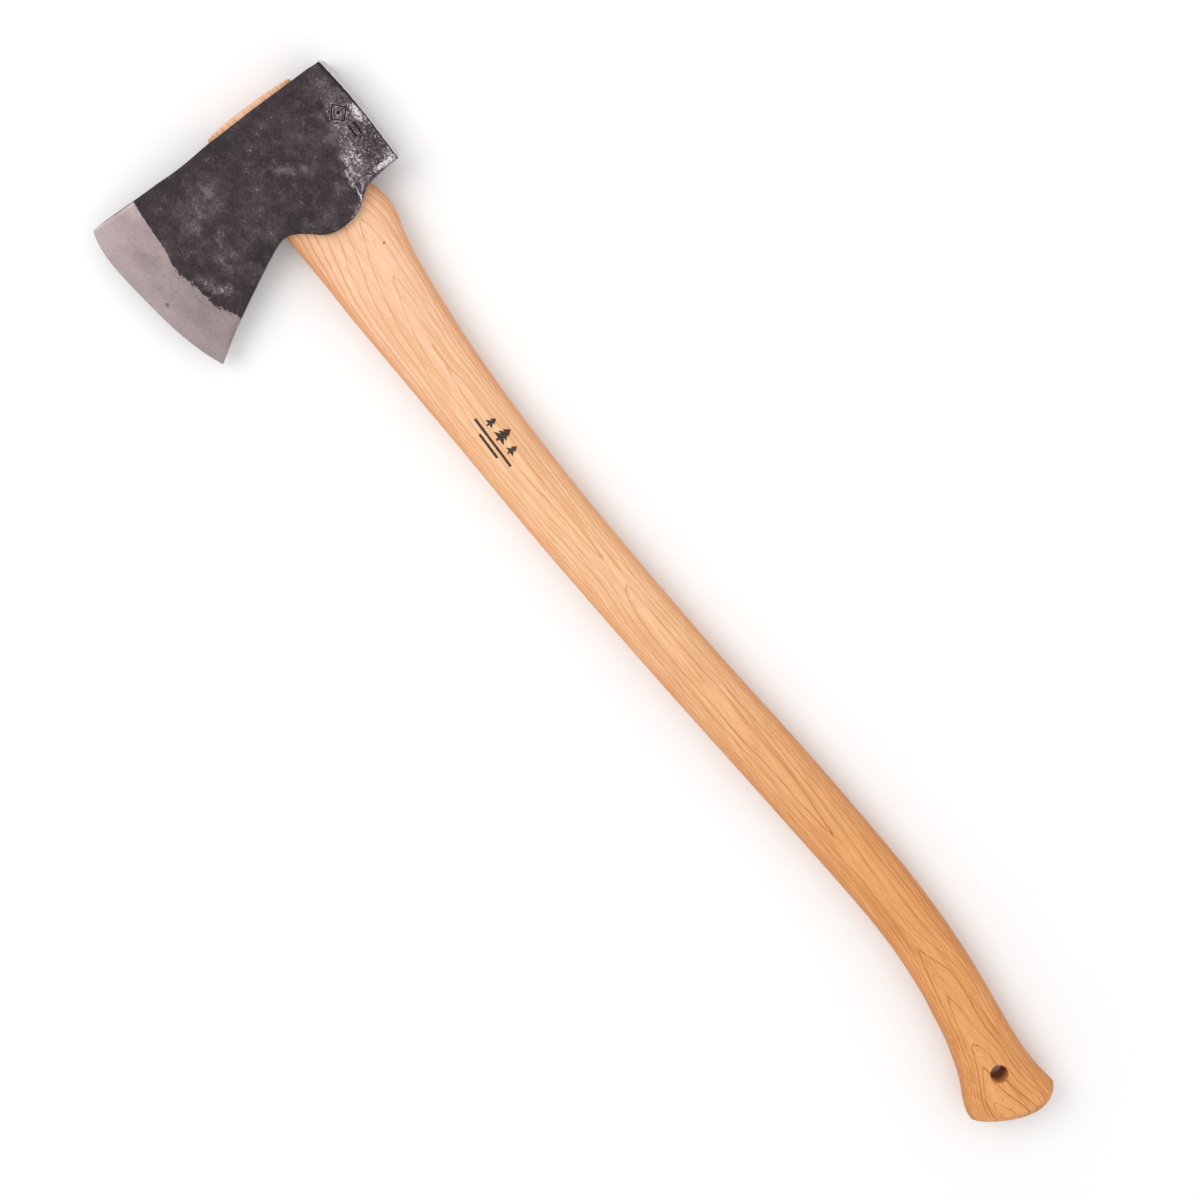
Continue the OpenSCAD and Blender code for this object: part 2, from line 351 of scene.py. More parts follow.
def mark_depth(x, y):
    """Depth, 0 to 1, of the two plain stamps on the cheek: a lozenge with a dot, and two bars."""
    dx, dy = x - MARK_LOZENGE[0], y - MARK_LOZENGE[1]
    half_x, half_y, half_line, dot = 6.0, 5.6, 0.42, 1.1
    line = np.abs(np.abs(dx) / half_x + np.abs(dy) / half_y - 1) * 4.1
    out = np.clip(1.5 - line / half_line, 0, 1)
    out = np.maximum(out, np.clip(1.6 - np.hypot(dx, dy) / dot, 0, 1))
    half_long, half_wide, apart = 4.2, 0.6, 1.9
    for off in (-apart, apart):
        ex = np.abs(x - MARK_BARS[0]) - half_long
        ey = np.abs(y - MARK_BARS[1] - off) - half_wide
        out = np.maximum(out, np.clip(1 - np.maximum(ex, ey) / 0.3, 0, 1))
    return out


# The crease from the lug up beside the poll, as x and y, and where its groove fades out.
CREASE = [(703.5, -21), (707, -22.4), (711, -23.2), (716, -24), (722, -25.5), (731, -28.5), (744, -32)]
CREASE_FADES = 735
# Where the ground bit meets the scale, as x and y.
GRIND_LINE = [
    (676, 76), (693, 79.2), (696, 81), (700, 83.6), (705, 86), (710, 87.6), (715, 88.4), (720, 89),
    (725, 89.8), (730, 91.6), (735, 92.8), (742, 92.4), (750, 90.8), (760, 90), (770, 89.5),
    (780, 88.8), (790, 87.6),
]

# Bright streaks, each a half width and the points it runs through: painted highlights along the crease, and
# worn edges along the underside's rim.
SCUFFS_AND_HIGHLIGHTS = [
    (0.35, [(712.7, -29.5), (713.3, -38), (713.5, -46)]),
    (0.45, [(708.6, -24.2), (710.3, -26.5), (712.3, -29)]),
    (1.1, [(714, -22.6), (719, -23.4), (724, -24.4)]),
    (1.3, [(720, -26.4), (726, -28.2), (731, -28.4)]),
    (0.6, [(714, -47), (715, -51), (719, -53)]),
    (0.45, [(699.6, -11), (701.2, -15.5), (703.4, -19.5)]),
]

# Rubbed patches on the scale: x, y, reach along x, reach along y, turn, strength.
WEAR = [
    (716, -50, 5, 6, 0, 0.72), (724, -53, 9, 2.2, 0, 0.7), (744, -53, 9, 2.0, 0, 0.8),
    (763, -53.5, 10, 1.6, 0, 0.5), (732, -30, 9, 4, 20, 0.7), (719, -27, 8, 3, 10, 0.8),
    (718, -17, 6, 4, 30, 0.6), (726, -20, 5, 3, 0, 0.45), (738, -8, 4, 8, -35, 0.3),
    (748, -50, 7, 2.6, 0, 0.9), (766, -33, 8, 5, 30, 0.42), (752, -33, 10, 5, 0, 0.36),
    (712, 78, 4, 7, -30, 1.05), (722, 83, 6, 4, 0, 1.0), (735, 5, 3.5, 4, 0, 0.4),
    (713.5, -44, 2.0, 10, 0, 1.0), (764, 58, 4, 6, 0, 0.3), (722, -38, 8, 8, 0, 0.36),
    (740, -40, 14, 12, 0, 0.34), (718, 5, 4, 9, 20, 0.3), (776, -46, 6, 8, 0, 0.3),
    (757, 64, 7, 6, 0, 0.26), (757, 35, 6, 5, 0, 0.24), (703, -18, 3, 8, 25, 0.5),
]
# Paler clouds on the scale, in the same form.
PALE = [
    (762, 56, 12, 14, 0, 0.9), (747, 68, 10, 9, 20, 0.6), (724, 68, 9, 12, -25, 0.7),
    (722, 36, 8, 20, -25, 0.5), (741, -2, 4, 11, -38, 1.0), (748, 8, 4, 6, -35, 0.7),
    (757, -14, 9, 9, 0, 0.4), (733, 62, 8, 7, 0, 0.5), (765, 9, 9, 12, 0, 0.3),
    (735, -33, 20, 9, 0, 0.8), (765, -42, 14, 10, 0, 0.5), (707, 52, 4, 9, -28, 0.5),
    (708, 2, 5, 12, 15, 0.45),
]


def head_rings():
    """Rings of points round the upper half of the head, one for each station u from the poll to
    the edge. Returns the stations, the points, how far each is on the cheek and the eye's stations."""
    shares = np.concatenate([
        np.linspace(0.0, 0.30, 24, endpoint=False), np.linspace(0.30, 0.67, 60, endpoint=False),
        np.linspace(0.67, 1.0, 28),
    ])
    u = spaced([(POLL_Y + POLL_BEVEL, 0.45), (-34, 0.62), (-18, 0.8), (99, 0.6), (HEEL[0], 1)])
    u = np.concatenate([[POLL_Y], u])
    inset = np.zeros(len(u))
    inset[0] = POLL_BEVEL
    low, top, top_y, bow, half, crown = head_profile(u)
    rim = np.minimum(RIM_ROUND, half * 0.5)
    rim[:2] = POLL_ROUND
    tall = top - low
    lean = POLL_LEAN * (1 - ease((u - POLL_Y) / 20))

    def cheek(sx):
        return half * (1 - crown * (2 * sx - 1) ** 2) - inset

    def place(s, drop, z_of):
        """Points at share s up each ring, drop mm in from the rim."""
        sx = s + drop / tall
        x = low + inset + (tall - 2 * inset) * sx
        y = u + (top_y - u) * sx + bow * arch(np.clip(sx, 0, 1))
        y = y + lean * np.clip((sx - 0.62) / 0.38, 0, None) ** 1.6
        return np.stack([x, y, z_of(sx)], -1)

    def flat(s, x, k):
        """Row k of the underside, s = 0, or the top, s = 1, from the eye or the middle to the rim."""
        edge = cheek(np.full(len(u), s)) - rim
        inner = np.minimum(eye_half_width(x, u), edge)
        inner[:2] = 0
        return place(s, 0.0, lambda sx: inner + (edge - inner) * k / FACE_COLS)

    def rounded(s, a):
        """The row at angle a of the rim's round edge, from the flat face to the cheek."""
        drop = rim * (1 - np.cos(a)) * (1 if s == 0 else -1)
        return place(s, drop, lambda sx: cheek(sx) - rim * (1 - np.sin(a)))

    rows = [(flat(0.0, low, k), 0.0) for k in range(FACE_COLS)]
    rows += [(rounded(0.0, a), math.sin(a) ** 2) for a in RIM_ARC]
    rows += [(place(s * (1 - 2 * rim / tall), rim, cheek), 1.0) for s in shares]
    rows += [(rounded(1.0, a), math.sin(a) ** 2) for a in RIM_ARC[::-1]]
    rows += [(flat(1.0, top, k), 0.0) for k in range(FACE_COLS - 1, -1, -1)]
    points = np.stack([p for p, _ in rows], 1)  # station, place in ring, xyz
    shows = np.tile([share for _, share in rows], (len(u), 1))
    in_eye = np.flatnonzero((eye_half_width(top, u) > 0) | (eye_half_width(low, u) > 0))
    return u, points, shows, range(max(2, in_eye[0] - 1), in_eye[-1] + 2)


def head_fields(u, points, shows):
    """What the steel's look depends on, one number for each of the rings' points."""
    x, y = points[..., 0], points[..., 1]
    crease, along = path_distance(x, y, CREASE)
    scuff_and_highlight = np.zeros(x.shape)
    for wide, path in SCUFFS_AND_HIGHLIGHTS:
        scuff_and_highlight = np.maximum(scuff_and_highlight, np.exp(-((path_distance(x, y, path)[0] / wide) ** 2)))
    return {
        "grind": y - np.interp(x, *np.array(GRIND_LINE).T),
        "to_edge": points[-1, :, 1][None, :] - y,
        "crease": crease,
        "fade": np.clip(1 - along, 0, 1) ** 1.2,
        "wear": sum(strength * blob(x, y, *patch) for *patch, strength in WEAR),
        "pale": sum(strength * blob(x, y, *patch) for *patch, strength in PALE),
        "mark": mark_depth(x, y),
        "poll": np.tile((u - POLL_Y)[:, None], (1, x.shape[1])),
        "scuff_and_highlight": scuff_and_highlight,
        "shows": shows,
    }


def hammered(points, fields, side):
    """One side's points, sunk by the hammer marks, the grinding, the crease and the stamps."""
    p = points.copy()
    x, y = p[..., 0], p[..., 1]
    grind, to_edge, crease = fields["grind"], fields["to_edge"], fields["crease"]
    blows = 0.30 * (0.5 + 0.5 * fbm(x / 13, y / 13, 20 + side))
    blows = blows + 0.10 * (0.5 + 0.5 * fbm(x / 3.4, y / 3.4, 30 + side, 3))
    on_scale = 0.35 + 0.65 * ease(-grind / 1.2 + 0.5)
    dent = blows * on_scale * (0.25 + 0.75 * ease(to_edge / 25))
    dent = dent + 0.12 * ease(grind / 0.8) * ease(to_edge / 12)
    groove = 0.6 * np.exp(-((crease / 1.3) ** 2)) + 0.3 * ease(-crease / 4) * (y < 0)
    dent = dent + groove * fields["fade"] * ease((CREASE_FADES - x) / 30 + 0.6)
    if side == 0:
        dent = dent + MARK_SUNK * fields["mark"]
    p[..., 2] -= np.minimum(dent * fields["shows"], np.maximum(p[..., 2] - 0.1, 0) * 0.5)
    if side:
        p[..., 2] *= -1
    return p


def eye_wall(p, u, stations, side):
    """The eye's wall, from the top face's inner edge down to the underside's."""
    wall = []
    for i in stations:
        x = np.linspace(p[i, -1, 0], p[i, 0, 0], WALL_ROWS)
        z = eye_half_width(x, u[i]) * (-1 if side else 1)
        z[0], z[-1] = p[i, -1, 2], p[i, 0, 2]
        # Shut at the rim means shut just inside too, so that no edge has four faces.
        z[1] *= z[0] != 0
        z[-2] *= z[-1] != 0
        wall.append(np.stack([x, np.full(WALL_ROWS, u[i]), z], -1))
    return np.array(wall)


def head_piece():
    u, points, shows, stations = head_rings()
    fields = head_fields(u, points, shows)
    count, per = points.shape[:2]
    verts, faces, columns = [], [], {key: [] for key in fields}

    def add_patch(patch, quads, i, j):
        """Adds a patch whose points take their fields from station i and place j of the rings."""
        faces.append(quads + sum(len(v) for v in verts))
        verts.append(patch.reshape(-1, 3))
        for key, values in fields.items():
            columns[key].append(values[i, j])

    for side in (0, 1):
        p = hammered(points, fields, side)
        add_patch(p, grid_faces(count, per), np.repeat(np.arange(count), per), np.tile(np.arange(per), count))
        wall = eye_wall(p, u, stations, side)
        quads = grid_faces(len(wall), WALL_ROWS)
        shut = np.abs(wall.reshape(-1, 3)[quads, 2]).max(1) < 1e-6
        add_patch(wall, quads[~shut], np.repeat(stations, WALL_ROWS), 0)
        # The poll's face and the cutting edge, from the middle out to the cheek.
        on_cheek = np.arange(FACE_COLS, per - FACE_COLS)
        for i in (0, count - 1):
            cap = np.stack([p[i, on_cheek] * [1, 1, k / FACE_COLS] for k in range(FACE_COLS + 1)], 0)
            add_patch(cap, grid_faces(*cap.shape[:2]), i, np.tile(on_cheek, FACE_COLS + 1))
    attributes = {key: np.concatenate(v) for key, v in columns.items()}
    return make_object("forged_head", np.concatenate(verts), np.concatenate(faces), attributes, sharp=30)


# ---------------- haft

AROUND = 112  # points round the haft


def oval(a, b, power=2.4):
    """Points round an oval of half sizes a and b. A higher power is squarer."""
    f = (np.arange(AROUND) + 0.5) * 2 * np.pi / AROUND
    c, s = np.cos(f), np.sin(f)
    x = a * np.sign(c) * np.abs(c) ** (2 / power)
    return np.stack([x, b * np.sign(s) * np.abs(s) ** (2 / power)], -1)


def middle_and_arm(section):
    """A section's middle, and the arm from there to its front, in x and y."""
    front, back = section[[1, 2]], section[[3, 4]]
    return (front + back) / 2, (front - back) / 2


def foot_end():
    """The foot section's middle and arm, and the way out of its end."""
    middle, arm = middle_and_arm(np.array(HAFT[0], float))
    return middle, arm, np.array([-arm[1], arm[0]]) / np.hypot(*arm)


def haft_ring(u):
    section = smooth(HAFT, u)[0]
    middle, arm = middle_and_arm(section)
    o = oval(1, section[5])
    return np.stack([middle[0] + arm[0] * o[:, 0], middle[1] + arm[1] * o[:, 0], o[:, 1]], -1)


def dome_ring(v):
    """A ring of the foot's domed end, from v = 0 at the foot section to 1 at the tip."""
    middle, arm, out = foot_end()
    tip = middle + out * FOOT_DOME * v * 0.992  # just inside the CAD's dome
    grow, thin = (1 - v**1.5) ** 0.6, (1 - v**3.5) ** 0.45
    slip = (1 - grow) * (0.28 * (1 - grow) - 0.58)
    o = oval(grow, HAFT[0][5] * thin)
    return np.stack([tip[0] + arm[0] * (o[:, 0] + slip), tip[1] + arm[1] * (o[:, 0] + slip), o[:, 1]], -1)


def end_share(p):
    """How far each point is into the foot's domed end, 0 to 1."""
    middle, _, out = foot_end()
    return np.clip((p[:, :2] - middle) @ out / FOOT_DOME, 0, 1)


def eye_ring(x, gap):
    """The eye's oval at x, gap mm larger all round."""
    long, wide, middle = eye_size(x)
    o = oval(long + gap, wide + gap, EYE_POWER)
    return np.stack([np.full(AROUND, float(x)), middle + o[:, 0], o[:, 1]], -1)


def tenon_rings():
    """The tenon from below the head to its slightly domed top."""
    rings = [eye_ring(x, -TENON_GAP) for x in np.linspace(TENON_LOW, TENON_TOP - 1.0, 50)]
    for inset, x in ((0.25, -0.45), (0.7, -0.12)):
        rings.append(eye_ring(TENON_TOP + x, -TENON_GAP - inset))
    rim = rings[-1]
    middle = rim.mean(0)
    for k in (0.86, 0.66, 0.44, 0.22, 0.04):
        inner = middle + (rim - middle) * [1, k, k]
        inner[:, 0] = TENON_TOP - 0.02
        rings.append(inner)
    for ring in rings:
        past = ease((ring[:, 0] - HEAD_TOP) / 2.5)
        ring[:, 0] -= 1.2 * past * np.abs((ring[:, 1] - EYE_MIDDLE) / 31) ** 3
    return rings


# Rings counted along the haft's upper side: station, count. Whole numbers are dark lines.
RINGS_AT = [
    (0, 5.6), (20, 4.6), (32, 4.0), (51, 3.0), (68, 2.0), (90, 1.35), (111, 1.0), (143, 0.0),
    (180, -0.4), (215, 0.0), (250, 0.45), (293, 0.55), (350, 0.78), (395, 0.7), (420, 0.3),
    (430, 0.0), (440, -0.12), (450, 0.0), (500, 0.45), (540, 0.6), (575, 0.4), (600, 0.1),
    (630, -0.3), (655, -0.75), (674, -1.2), (698, -2.0), (710, -2.5), (790, -3.4),
]
# The line along the upper side that the grain's arches point along: station, y.
CREST = [
    (0, 3), (22, 2), (32, 0), (51, -8), (68, -9.5), (90, -13), (111, -16), (143, -18.5), (215, -19),
    (293, -15.5), (360, -10.5), (400, -8.5), (430, -10.5), (450, -8), (530, -4), (600, -3),
    (650, -9), (697, -14), (790, -4),
]
# How fast the rings fall away beside the crest, in rings a millimetre, and how pointed the tips are.
FALL = [
    (0, 0.13, 0.8), (55, 0.15, 0.8), (75, 0.12, 0.8), (95, 0.09, 0.8), (111, 0.10, 0.8),
    (128, 0.14, 0.8), (143, 0.15, 0.8), (170, 0.13, 1.0), (215, 0.13, 0.8), (300, 0.16, 2.0),
    (380, 0.16, 2.0), (430, 0.16, 0.8), (600, 0.14, 0.8), (655, 0.12, 1.2), (697, 0.13, 2.2),
    (790, 0.15, 2.0),
]
RING_STEP = 1.55


def ring_count(p):
    """Growth rings passed at each point: whole numbers are the dark lines."""
    x, y, z = p[:, 0], p[:, 1], p[:, 2]
    along = np.clip(x, 1, TENON_TOP)
    half = smooth(HAFT, np.clip(along, HAFT_LOW, HAFT_HIGH))[:, 5]
    off_crest = y - smooth(CREST, along)[:, 1]
    fall, blunt = smooth(FALL, along)[:, 1:].T
    shape = fall * (np.sqrt(off_crest * off_crest + blunt * blunt) - blunt)
    shape = shape + 0.010 * np.clip(off_crest, 0, 22) ** 2 * ease((90 - x) / 60)
    calm = (0.35 + 0.65 * ease((x - 150) / 60)) * (1 - 0.5 * ease((x - 600) / 50))
    wander = 0.30 * fbm(x / 62, (y + 0.5 * z) / 10, 51) + 0.10 * fbm(x / 28, (y + z) / 5.5, 52, 2)
    ragged = 0.018 * noise(x / 9, (y + z) / 3.2, 53)
    step = RING_STEP * (1 + 0.7 * ease((x - 590) / 80))
    height = z / np.clip(1 - end_share(p) ** 3.5, 0.05, 1) ** 0.36
    return smooth(RINGS_AT, along)[:, 1] + (height - half) / step - shape + calm * wander + ragged


def with_rings(obj, shift=0.0):
    """Stores each point's ring count, the rings that pass in a millimetre there, and how far
    into the foot's end it is."""
    mesh = obj.data
    co, normal = np.empty(len(mesh.vertices) * 3), np.empty(len(mesh.vertices) * 3)
    mesh.vertices.foreach_get("co", co)
    mesh.vertices.foreach_get("normal", normal)
    p, normal = co.reshape(-1, 3) * 1000 + ORIGIN, normal.reshape(-1, 3)
    step = 0.6
    slope = [(ring_count(p + step * e) - ring_count(p - step * e)) / (2 * step) for e in np.eye(3)]
    slope = np.stack(slope, -1)
    slope -= (slope * normal).sum(1)[:, None] * normal
    store(mesh, "ring", ring_count(p) + shift)
    store(mesh, "pace", np.clip(np.linalg.norm(slope, axis=1), 0.05, 3.0))
    store(mesh, "end", end_share(p))
    mesh.shade_smooth()
    mesh.set_sharp_from_angle(angle=math.radians(38))
    return obj


def bore_cutter():
    """The hanging hole with a softened mouth on each side."""
    n = 72
    prof = [(-30, HOLE_R + 6), (-13.0, HOLE_R + 0.55), (-12.4, HOLE_R + 0.18), (-11.8, HOLE_R)]
    prof = prof + [(-z, r) for z, r in prof[::-1]]
    f = np.linspace(0, 2 * np.pi, n, endpoint=False)
    rings = []
    for z, r in prof:
        rings.append(np.stack([HOLE_X + r * np.cos(f), HOLE_Y + r * np.sin(f), np.full(n, z)], -1))
    return make_object("bore", np.concatenate(rings), tube_faces(len(rings), n))


def prism(name, outline, half, turn=0.0):
    """A solid with an x and z outline, from -half to half in y, turned about the haft's axis."""
    o = np.array(outline, float)
    a = math.radians(turn)
    ends = []
    for y in (-half, half):
        yy = y * math.cos(a) - o[:, 1] * math.sin(a)
        zz = y * math.sin(a) + o[:, 1] * math.cos(a)
        ends.append(np.stack([o[:, 0], yy, zz], -1))
    return make_object(name, np.concatenate(ends), tube_faces(2, len(o)))


def wedge_outline(gap):
    low, high = TENON_TOP - WEDGE_DEPTH, TENON_TOP + CUT_PAST
    tip = WEDGE_TIP / 2 + gap
    head = WEDGE_TOP / 2 + (WEDGE_TOP - WEDGE_TIP) / 2 * CUT_PAST / WEDGE_DEPTH + gap
    return [(low, -tip), (low, tip), (high, head), (high, -head)]


def wedge_cutter():
    return prism("wedge_slot", wedge_outline(WEDGE_GAP), CUT_HALF)


def kerf_cutter():
    tip, h = TENON_TOP - WEDGE_DEPTH, WEDGE_TIP / 2
    low, high = tip - KERF_SPARE, tip + 1
    return prism("kerf", [(low, -h), (low, h), (high, h), (high, -h)], CUT_HALF)


def steel_cutter():
    """The steel wedge with its gap, run past the tenon's top."""
    upper = []
    for share in np.linspace(0, 1, STEEL_STEPS + 1):
        thick = STEEL_TIP + (STEEL_TOP - STEEL_TIP) * share
        upper.append([TENON_TOP - STEEL_DEEP * (1 - share), thick / 2 + WEDGE_GAP])
    upper[0][0] -= WEDGE_GAP
    upper[-1][0] += CUT_PAST
    outline = upper + [[x, -z] for x, z in upper[::-1]]
    return prism("steel_slot", outline, STEEL_WIDE / 2 + WEDGE_GAP, STEEL_ANGLE)


def haft_piece():
    rings = [dome_ring(v) for v in 1 - np.linspace(0.035, 1, 24, endpoint=False) ** 2]
    rings += [haft_ring(u) for u in spaced([(HAFT_LOW, 1.0), (HAFT_HIGH, 1)])]
    tenon = tenon_rings()
    rings += [rings[-1] * (1 - k) + tenon[0] * k for k in (0.25, 0.5, 0.75)]
    rings += tenon
    p = np.concatenate(rings)
    # Slight waves from shaving, faded out at the foot and the head.
    wobble = 0.07 * noise(p[:, 0] / 26, np.arctan(p[:, 2]) * 2, 61)
    keep = ease((p[:, 0] - 20) / 30) * ease((700 - p[:, 0]) / 30)
    p[:, 2] -= np.sign(p[:, 2]) * (0.07 + wobble) * keep * np.minimum(1, np.abs(p[:, 2]) / 4)
    obj = make_object("hickory_haft", p, tube_faces(len(rings), AROUND), sharp=40)
    cut(obj, bore_cutter(), wedge_cutter(), kerf_cutter(), steel_cutter())
    return with_rings(obj)


def wedge_piece():
    """The wooden wedge: the tenon's own shape between the slot's faces."""
    rings = [eye_ring(x, -TENON_GAP) for x in np.linspace(TENON_TOP - WEDGE_DEPTH - 6, TENON_TOP - 6, 12)]
    rings += tenon_rings()[-11:]
    obj = make_object("oak_wedge", np.concatenate(rings), tube_faces(len(rings), AROUND))
    cut(obj, prism("slab", wedge_outline(0.0), CUT_HALF), operation="INTERSECT")
    cut(obj, steel_cutter())
    return with_rings(obj, 3.4)


# ---------------- materials


class Graph:
    """A material's nodes, with short calls for the usual ones. x, y, z and mm are the row
    frame's millimetres."""

    def __init__(self, name):
        self.mat = bpy.data.materials.new(name)
        self.mat.use_nodes = True
        self.tree = self.mat.node_tree
        self.tree.nodes.clear()
        out = self.node("ShaderNodeOutputMaterial")
        self.bsdf = self.node("ShaderNodeBsdfPrincipled")
        self.tree.links.new(self.bsdf.outputs[0], out.inputs[0])
        coord = self.node("ShaderNodeTexCoord")
        scaled = self.node("ShaderNodeVectorMath", operation="SCALE")
        self.put(scaled.inputs[0], coord.outputs["Object"])
        self.put(scaled.inputs["Scale"], 1000.0)
        self.mm = scaled.outputs[0]
        apart = self.node("ShaderNodeSeparateXYZ")
        self.put(apart.inputs[0], self.mm)
        self.x, self.y, self.z = apart.outputs

    def node(self, kind, **settings):
        made = self.tree.nodes.new(kind)
        for key, value in settings.items():
            setattr(made, key, value)
        return made

    def put(self, socket, value):
        if isinstance(value, bpy.types.NodeSocket):
            self.tree.links.new(value, socket)
        else:
            socket.default_value = value

    def vector(self, op, a, b):
        n = self.node("ShaderNodeVectorMath", operation=op)
        self.put(n.inputs[0], a)
        self.put(n.inputs[1], b)
        return n.outputs[0]

    def distance(self, place, squash=(1, 1, 1)):
        """Distance from a place in row millimetres, with each axis counted squash times."""
        n = self.node("ShaderNodeVectorMath", operation="LENGTH")
        self.put(n.inputs[0], self.vector("MULTIPLY", self.vector("SUBTRACT", self.mm, place), squash))
        return n.outputs["Value"]

    def math(self, op, a, b=0.0, c=0.0, clamp=False):
        n = self.node("ShaderNodeMath", operation=op, use_clamp=clamp)
        for socket, v in zip(n.inputs, (a, b, c)):
            self.put(socket, v)
        return n.outputs[0]

    def add(self, *values):
        return functools.reduce(lambda a, b: self.math("ADD", a, b), values)

    def times(self, *values):
        return functools.reduce(lambda a, b: self.math("MULTIPLY", a, b), values)

    def most(self, *values):
        return functools.reduce(lambda a, b: self.math("MAXIMUM", a, b), values)

    def less(self, a, b):
        return self.math("SUBTRACT", a, b)

    def off(self, a, b):
        """How far a is from b."""
        return self.math("ABSOLUTE", self.less(a, b))

    def line(self, v, gain, start, clamp=False):
        """v times gain, plus start."""
        return self.math("MULTIPLY_ADD", v, gain, start, clamp=clamp)

    def attribute(self, name):
        return self.node("ShaderNodeAttribute", attribute_name=name).outputs["Fac"]

    def range(self, v, a, b, c=0.0, d=1.0):
        """Goes smoothly from c to d as v goes from a to b."""
        n = self.node("ShaderNodeMapRange", interpolation_type="SMOOTHSTEP", clamp=True)
        for socket, value in zip(n.inputs, (v, a, b, c, d)):
            self.put(socket, value)
        return n.outputs[0]

    def noise(self, stretch, detail=3.0, rough=0.55, seed=0.0):
        """Noise from 0 to 1 whose features are about stretch millimetres across along each axis."""
        s = self.vector("MULTIPLY", self.mm, tuple(1.0 / v for v in stretch))
        s = self.vector("ADD", s, (seed * 1.7, seed * 3.1, seed * 5.3))
        n = self.node("ShaderNodeTexNoise")
        self.put(n.inputs["Vector"], s)
        self.put(n.inputs["Scale"], 1.0)
        self.put(n.inputs["Detail"], detail)
        self.put(n.inputs["Roughness"], rough)
        return n.outputs[0]

    def spread(self, v, gain):
        """A noise from 0 to 1, centred on 0 and times gain."""
        return self.times(self.less(v, 0.5), gain)

    def chance(self, v):
        """A random number from 0 to 1 for each value of v."""
        n = self.node("ShaderNodeTexWhiteNoise", noise_dimensions="1D")
        self.put(n.inputs["W"], v)
        return n.outputs[0]

    def mix(self, f, a, b, blend="MIX"):
        n = self.node("ShaderNodeMix", data_type="RGBA", blend_type=blend)
        self.put(n.inputs[0], f)
        self.put(n.inputs[6], a)
        self.put(n.inputs[7], b)
        return n.outputs[2]

    def ramp(self, f, stops):
        """A colour ramp. Each stop is a position, and a colour or a grey."""
        n = self.node("ShaderNodeValToRGB")
        e = n.color_ramp.elements
        while len(e) > 1:
            e.remove(e[-1])
        for k, (pos, value) in enumerate(stops):
            at = e[0] if k == 0 else e.new(pos)
            at.position = pos
            at.color = value if isinstance(value, tuple) else (value, value, value, 1.0)
        self.put(n.inputs[0], f)
        return n.outputs[0]

    def bump(self, height, distance_mm, strength):
        n = self.node("ShaderNodeBump")
        self.put(n.inputs["Strength"], strength)
        self.put(n.inputs["Distance"], distance_mm / 1000.0)
        self.put(n.inputs["Height"], height)
        return n.outputs[0]

    def finish(self, **inputs):
        for key, value in inputs.items():
            self.put(self.bsdf.inputs[key.replace("_", " ")], value)
        return self.mat


def srgb(r, g, b):
    """A colour from 0 to 255, as linear light."""
    shares = [v / 255 for v in (r, g, b)]
    return (*[v / 12.92 if v <= 0.04045 else ((v + 0.055) / 1.055) ** 2.4 for v in shares], 1.0)


class SteelGraph(Graph):
    """The head's graph, with the noises and measures that its layers share."""

    def __init__(self, name):
        super().__init__(name)
        for key in ("grind", "to_edge", "wear", "pale", "poll", "crease", "fade"):
            setattr(self, key, self.attribute(key))
        self.big = self.noise((26, 26, 26), 3, 0.6, 1)
        self.mid = self.noise((7, 7, 7), 4, 0.6, 2)
        self.fine = self.noise((1.7, 1.7, 1.7), 4, 0.65, 3)
        self.grit = self.noise((0.55, 0.55, 0.55), 2, 0.6, 4)
        # The stamps, scuffs and painted highlight streaks are on the upper cheek alone, the crease on both
        # cheeks.
        self.cheek = self.attribute("shows")
        self.upper = self.times(self.cheek, self.range(self.z, HEAD_HALF, HEAD_HALF + 1.0))


# Places on the head: a drawing x, or x, y and z.
BLOCK_FADES = (785, 750)  # the rubbed block beside the poll fades between these
LINE_CALMS = (733, 742)  # the bit's torn line is calm above the second
POLL_LINE_WIDENS = (735, 775)
STAIN = (724.5, 110, 0.4)


def poll_block(g):
    """Where the block between the crease and the poll is paler and more rubbed."""
    beside = g.range(g.add(g.crease, g.spread(g.mid, 14.0)), 5.0, -7.0)
    behind_bit = g.range(g.grind, -90, -110)
    full, faint = row_x(BLOCK_FADES[1]), row_x(BLOCK_FADES[0])
    return g.times(beside, behind_bit, g.range(g.add(g.x, g.spread(g.mid, 30.0)), faint, full, 0.3, 1.0))


def forge_scale(g, block):
    """The forge scale: near black with a brown cast, clouded by paler patches."""
    clouds = g.add(g.spread(g.big, 0.9), g.spread(g.mid, 1.0), -0.10)
    patches = g.times(g.pale, g.range(g.mid, 0.38, 0.62, 0.30, 0.72))
    cloud = g.add(clouds, patches, g.spread(g.fine, 1.3), g.spread(g.grit, 0.9))
    cloud = g.add(cloud, g.times(block, g.line(g.fine, 1.6, -0.45)))
    colour = g.ramp(g.line(cloud, 0.62, 0.385, clamp=True), [
        (0.0, srgb(30, 21, 25)), (0.3, srgb(49, 39, 43)), (0.6, srgb(76, 66, 68)), (1.0, srgb(118, 110, 110)),
    ])
    violet = g.mix(1.0, colour, (1.04, 0.98, 1.16, 1.0), "MULTIPLY")
    return g.mix(g.times(block, 0.8), colour, violet)


